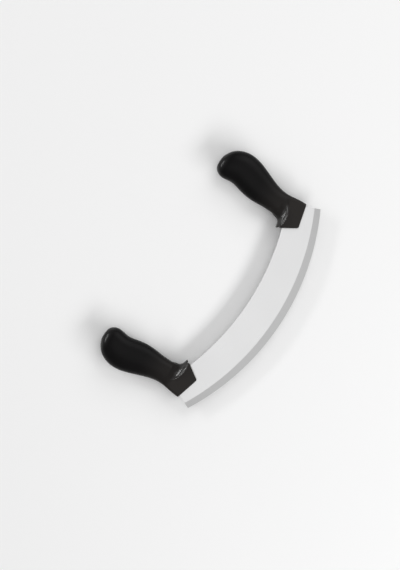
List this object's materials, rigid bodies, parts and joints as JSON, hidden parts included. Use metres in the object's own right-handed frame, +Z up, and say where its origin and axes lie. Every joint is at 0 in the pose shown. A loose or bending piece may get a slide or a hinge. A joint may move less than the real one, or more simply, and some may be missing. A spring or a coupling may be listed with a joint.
{
  "type": "rocking pizza knife",
  "caption": "Two-handled rocking knife: a crescent steel blade with a moulded black handle on each end, for cutting pizza in one rocking stroke.",
  "frame": {"origin": "middle of the knife's outline, on the surface it lies on", "axes": "+X from one handle to the other along the blade, +Y from the cutting edge to the butts of the handles, +Z up, square to the blade as the knife lies on its side"},
  "size_m": [0.3176, 0.1766, 0.028],
  "materials": {
    "blade_steel": "satin",
    "handle_plastic": "fine texture with a low sheen",
    "core_plastic": "plain"
  },
  "bodies": {
    "root": {"blade": "blade_steel", "left_handle": "handle_plastic", "right_handle": "handle_plastic", "left_handle_core": "core_plastic", "right_handle_core": "core_plastic"}
  },
  "joints": []
}
